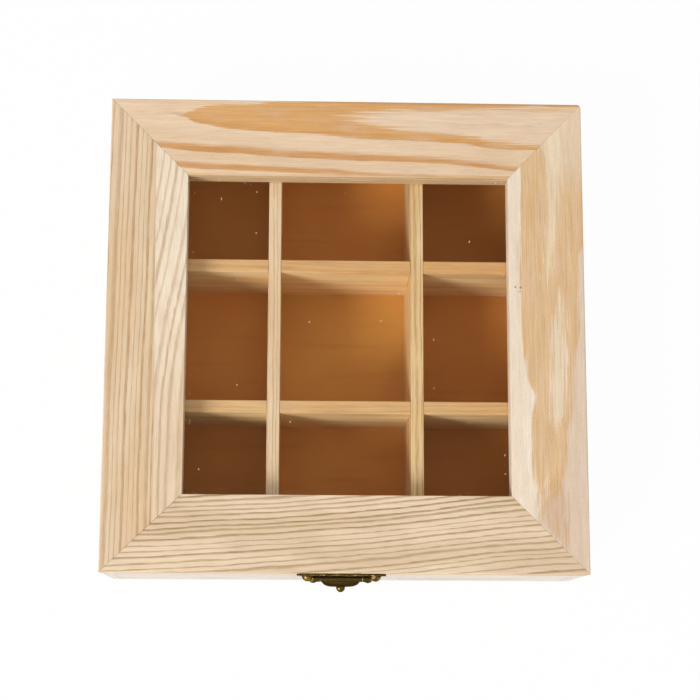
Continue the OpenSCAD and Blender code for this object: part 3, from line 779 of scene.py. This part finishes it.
# Across runs from right to left here, so these have x with its sign turned.
rightMarks = [
    {"low": [(-120, -122), (120, -122)],                # pinkish outer strip
     "high": [(-120, -92), (-84, -98), (-78.4, -104), (-65.5, -107), (-41.5, -111), (-3, -113), (30, -116),
              (60, -119), (120, -123)],
     "soft": (0.5, 1.2), "feather": 1.5, "colour": paint(224, 197, 172), "amount": 0.85, "streaky": 0.15},
    {"low": [(-120, -100), (-94, -102), (-84.3, -104), (-78.4, -106), (-65.5, -108.8), (-48.5, -110.7),
             (-41.5, -112.4), (-11.1, -114.2), (-1, -116), (19.6, -116.4), (29.9, -117.4), (40.3, -118.3),
             (50.8, -121.1), (120, -123)],
     "high": [(-120, -96), (-92, -95), (-80.4, -93.6), (-57.6, -92.2), (-43.6, -92.6), (-31, -94),
              (-25, -91.4), (-11.4, -89.1), (-1, -88.1), (40, -88), (88, -88.4), (120, -89)],
     "soft": (1.1, 0.6), "feather": 2.4, "colour": paint(219, 173, 114), "amount": 0.92, "streaky": 0.35,
     "fade": (-88, -72)},                               # the heartwood
    {"low": [(-120, -122), (120, -122)],                # pale back end
     "high": [(-120, -103), (60, -103.2), (82, -102.8), (89.5, -102.2), (95.8, -99.5), (108, -90),
              (120, -80)],
     "soft": (0.5, 0.9), "feather": 2.2, "colour": paint(234, 210, 180), "amount": 0.9, "streaky": 0.2,
     "fade": (70, 92)},
    {"low": [(-120, -95), (20, -99), (26.7, -101.8), (31.8, -102.6), (40.2, -103.9), (55.8, -106.4),
             (65.3, -107.7), (89.6, -109.1), (120, -110)],     # the back streak
     "high": [(-120, -105), (20, -103.6), (26.7, -101.8), (31.8, -101.4), (40.1, -101.1), (50.5, -101),
              (65.2, -102.3), (89.5, -101.9), (120, -100)],
     "soft": (0.5, 0.4), "feather": 10, "colour": paint(241, 220, 189), "amount": 0.95, "streaky": 0.6},
    {"low": [(-120, -98), (-60, -100), (-48.6, -104.5), (-45.5, -105.6), (-39.5, -108.5), (-23.4, -109.8),
             (-3, -109.6), (9.2, -109.6), (16.4, -107.7), (30, -104), (120, -90)],
     "high": [(-120, -110), (-60, -107), (-48.6, -104.5), (-45.6, -103.6), (-39.5, -103.2),
              (-14.3, -102.9), (-1.1, -103.6), (9.2, -106.1), (16.4, -107.7), (30, -111), (120, -120)],
     "soft": (0.9, 0.9), "feather": 11, "colour": paint(241, 226, 200), "amount": 0.9, "streaky": 0.6},
    {"low": [(-120, -104), (-105, -107.9), (-99, -108.3), (-91.2, -108.5), (-81.3, -108.1), (-73.4, -103),
             (-60, -96), (120, -85)],
     "high": [(-120, -113), (-105, -106.4), (-101, -102.6), (-94.2, -97.7), (-87.3, -94.9), (-81.4, -96),
              (-73.5, -104), (-60, -112), (120, -120)],     # short strokes where the heartwood ends
     "soft": (0.3, 0.3), "feather": 14, "short": True, "colour": paint(201, 154, 100), "amount": 0.75,
     "streaky": 0.9},
]
innerStrip = {
    "seam": [(-120, 94.5), (-60, 94.8), (0, 95.7), (120, 97.2)],
    "path": [(-120, 23.3), (-60, 22.8), (-30, 21.8), (2, 17.9), (35, 12), (64, 7.2), (90, 3.6), (120, 0)],
    "pith": (-80, -70), "lean": (0, 0), "ring": 3.3,
    "weaker": -0.25,                # what its lines lose
    "colour": paint(249, 233, 209), "amount": 0.8, "paler": (-70, 30),
}
rails = {
    "front": dict(
        seed=1.3, pith=(-270, -70), ring=2.05, uneven=0.4, wander=3.0, contrast=0.9, faint=0.68, broken=0.65,
        path=[(-120, 0), (-80, 1.8), (-40, 4.2), (0, 7.6), (40, 11.8), (80, 16.6), (120, 20)],
        pale=paint(239, 214, 182), tan=paint(226, 199, 164), late=paint(158, 124, 74)),
    "right": dict(
        turn=90, seed=6.1, dip=-0.8, grit=0.055, pith=(-300, -120), lean=(0.01, 0.0), ring=4.6, uneven=0.6,
        wander=6, contrast=0.1, pale=paint(247, 230, 209), tan=paint(242, 223, 200),
        late=paint(216, 184, 146), marks=rightMarks,
        specks=[(23.4, -87.5, 0.8), (23.6, -84.8, 0.7), (21.4, -87.1, 0.5)]),
    "back": dict(
        seed=4.7, dip=1.2, pith=(40, -22), lean=(-0.05, 0.02), ring=5.2, uneven=0.5, wander=8,
        contrast=0.16, pale=paint(238, 209, 176), tan=paint(232, 201, 165), late=paint(214, 172, 124),
        marks=backMarks),
    "left": dict(
        turn=90, seed=2.2, pith=(290, -70), lean=(-0.014, 0.0), ring=2.25, uneven=0.7, wander=2.0,
        ripple=0.9, contrast=0.9, faint=0.6, broken=0.6, pale=paint(233, 206, 171),
        tan=paint(227, 196, 158), late=paint(184, 144, 97), glued=innerStrip),
}


# One end of a rail: the mitre, then the lid's rounded corner in three cuts.
def mitreEnd(bm, corner, hand, radius, gap):
    out = -box["half"]
    run = corner - Vector((hand * -out, out, 0))
    away = Vector((-run.y, run.x, 0)).normalized()
    if away.x * hand < 0:
        away.negate()
    cutOff(bm, corner - away * gap, away)

    def topOfCut(edge):
        return all(abs((v.co - corner).dot(away) + gap) < 0.005 and v.co.z > lid["top"] - 0.6
                   for v in edge.verts)

    roundEdges(bm, lid["mitreEdge"], topOfCut, 1)
    middle = Vector((hand * (-out - radius), out + radius, 0))
    for angle in (15, 30, 45):
        slope = Vector((hand * sin(radians(angle)), -cos(radians(angle)), 0))
        cutOff(bm, middle + slope * radius, slope)


# Each rail is made at the front, and then turned to its side.
def makeRails():
    left, right = lid["windowX"]
    front, back = lid["windowY"]
    corners = [Vector((*spot, 0)) for spot in ((left, front), (right, front), (right, back), (left, back))]
    fits = list(lid["corner"].values())
    under, top, out = lid["under"], lid["top"], -box["half"]
    low, high = lid["groove"]
    for i, (side, wood) in enumerate(rails.items()):
        turn = Matrix.Rotation(radians(90 * i), 4, "Z")
        start, end = turn.inverted() @ corners[i], turn.inverted() @ corners[(i + 1) % 4]
        inner = start.y
        deep = inner - lid["grooveDeep"]
        section = [(out, under), (inner, under), (inner, low), (deep, low), (deep, high), (inner, high),
                   (inner, top), (out, top)]
        bm = pushedOut([(out - 1, y, z) for y, z in section], (-2 * out + 2, 0, 0))

        def runsAt(*places):
            return lambda e: abs(e.verts[0].co.x - e.verts[1].co.x) > 1 and any(
                all(abs(v.co.y - y) < 0.01 and abs(v.co.z - z) < 0.01 for v in e.verts) for y, z in places)

        roundEdges(bm, lid["topEdge"], runsAt((out, top)), 3)
        roundEdges(bm, lid["innerEdge"], runsAt((inner, top)), 3)
        roundEdges(bm, lid["underEdge"], runsAt((out, under), (inner, under)))
        roundEdges(bm, lid["grooveEdge"], runsAt((inner, low), (inner, high)))
        mitreEnd(bm, start, -1, *fits[i - 1])
        mitreEnd(bm, end, 1, *fits[i])
        bmesh.ops.transform(bm, matrix=turn, verts=bm.verts)
        name = "lid_" + side + "_rail"
        finish(name + ".wood", bm, "lid", [name], makePine(side + " rail", **wood))


def makeWindow():
    bm = bmesh.new()
    bmesh.ops.create_cube(bm, size=1)
    bmesh.ops.scale(bm, vec=lid["pane"], verts=bm.verts)
    roundEdges(bm, lid["paneEdge"])
    middle = (sum(lid["windowX"]) / 2, sum(lid["windowY"]) / 2, lid["paneZ"])
    bmesh.ops.translate(bm, vec=middle, verts=bm.verts)
    finish("window_pane.sheet", bm, "lid", ["window_pane"], makePane())


makeWalls()
makeDividers()
makeBase()
print("box ready")
makeRails()
makeWindow()
print("lid ready")


# Brads through the corners and up into the walls from below, and V-shaped nails across the mitres.
brads = {
    "head": 1.1, "shank": 0.6, "in": 6.0,       # radii, and how far in from the outside they stand
    "cornerLong": 20, "cornerShares": (0.22, 0.5, 0.78), "proud": 0.06,     # shares of the wall's height
    "baseLong": 16, "baseSpots": (-84.0, 0.0, 84.0), "sunk": 0.05,
}
mitreNails = {"leg": 6.0, "thick": 0.6, "long": 8, "in": 12.0, "proud": 0.03, "edge": 0.08}
bright = makeSteel()


# Where a brad stands: its +Z points out of the front, the back or the underside.
def standing(x, y, z, side):
    turn = {"front": 90, "back": -90, "under": 180}[side]
    return Matrix.Translation((x, y, z)) @ Matrix.Rotation(radians(turn), 4, "X")


def brad(length, top):
    head, shank = brads["head"], brads["shank"]
    return turned([(0, -length), (shank, -length + 0.8), (shank, -0.8), (head, -0.7), (head, top - 0.12),
                   (head - 0.14, top), (0.45, top - 0.05), (0, top - 0.05)], 20)


def makeBrads():
    at, low, high = box["half"] - brads["in"], box["floor"], box["wallTop"]
    places = [standing(x, y, low + share * (high - low), side)
              for side, y in (("front", -box["half"]), ("back", box["half"]))
              for x in (-at, at) for share in brads["cornerShares"]]
    finish("corner_brads.heads", repeated(brad(brads["cornerLong"], brads["proud"]), places), "box",
           ["corner_brads"], bright)
    places = [standing(*spot, brads["sunk"], "under") for end in (-at, at)
              for along in brads["baseSpots"] for spot in ((along, end), (end, along))]
    finish("base_brads.heads", repeated(brad(brads["baseLong"], 0.0), places), "box", ["base_brads"],
           bright)


def makeMitreNails():
    leg, thick, at = mitreNails["leg"], mitreNails["thick"], box["half"] - mitreNails["in"]
    plan = [(0, 0), (leg, 0), (leg, thick), (thick, thick), (thick, leg), (0, leg)]
    bottom = lid["under"] - mitreNails["proud"]
    bm = pushedOut([(x - at, y - at, bottom) for x, y in plan], (0, 0, mitreNails["long"]))
    roundEdges(bm, mitreNails["edge"], steps=1)
    turns = [Matrix.Rotation(radians(90 * i), 4, "Z") for i in range(4)]
    finish("lid_mitre_nails.steel", repeated(bm, turns), "lid", ["lid_mitre_nails"], bright)


makeBrads()
makeMitreNails()
print("brads and V-shaped nails ready")


# Hinges and latch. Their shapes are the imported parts', with rounded edges and pressed fields.
metal = {
    "edge": 0.12, "smallEdge": 0.05,        # how far edges are rounded, and those of screws and nails
    "rim": 0.6, "leafRim": 0.38,            # width of the border round a pressed field
    "slope": 0.1, "deep": 0.2,
    "face": 120.9, "latchFace": 121.0,      # how far from the middle the plates' faces lie
    "dome": 0.35, "domesFrom": 121,         # wear on domed heads, and where they begin
}
ahead, behind = Vector((0, -1, 0)), Vector((0, 1, 0))
bronze = makeBronze()


def markWear(bm, faces, amount):
    layer = bm.loops.layers.float["wear"]
    for face in faces:
        for loop in face.loops:
            loop[layer] = amount


# Presses the field of a plate in, so that a border stands round it and its holes.
def pressField(bm, outward, level, rim):
    field = [f for f in bm.faces if f.normal.dot(outward) > 0.99
             and abs(f.calc_center_median().dot(outward) - level) < 0.02]
    for width, depth in ((rim, 0), (metal["slope"], -metal["deep"])):
        bmesh.ops.inset_region(bm, faces=field, thickness=width, depth=depth, use_boundary=True,
                               use_even_offset=True)
    return field


def makeMetal(node, body, edge=metal["edge"], press=None, domed=False):
    bm = copied(node)
    bm.loops.layers.float.new("wear")
    if domed:
        markWear(bm, [f for f in bm.faces if abs(f.normal.y) < 0.97
                      and abs(f.calc_center_median().y) > metal["domesFrom"]], metal["dome"])
    if press:
        markWear(bm, pressField(bm, *press), -1.0)
    markWear(bm, roundEdges(bm, edge, lambda e: e.is_convex, 2, 35), 1.0)
    finish(node + ".metal", bm, body, [node], bronze)


leafPress = (behind, metal["face"], metal["leafRim"])
for side in ("left", "right"):
    makeMetal("hinge_" + side + "_box_leaf", "box", press=leafPress)
    makeMetal("hinge_" + side + "_lid_leaf", "lid", press=leafPress)
    makeMetal("hinge_" + side + "_pin", "box")
makeMetal("catch_plate", "box", press=(ahead, metal["face"], metal["rim"]))
makeMetal("catch_knob", "box", domed=True)
makeMetal("latch_lid_plate", "lid", press=(ahead, metal["latchFace"], metal["rim"]))
makeMetal("latch_pin", "lid")
makeMetal("hinge_box_screws", "box", metal["smallEdge"])
makeMetal("hinge_lid_screws", "lid", metal["smallEdge"])
makeMetal("latch_hasp", "hasp")
makeMetal("latch_lid_nails", "lid", metal["smallEdge"], domed=True)
makeMetal("catch_nails", "box", metal["smallEdge"], domed=True)
print("hinges and latch ready")
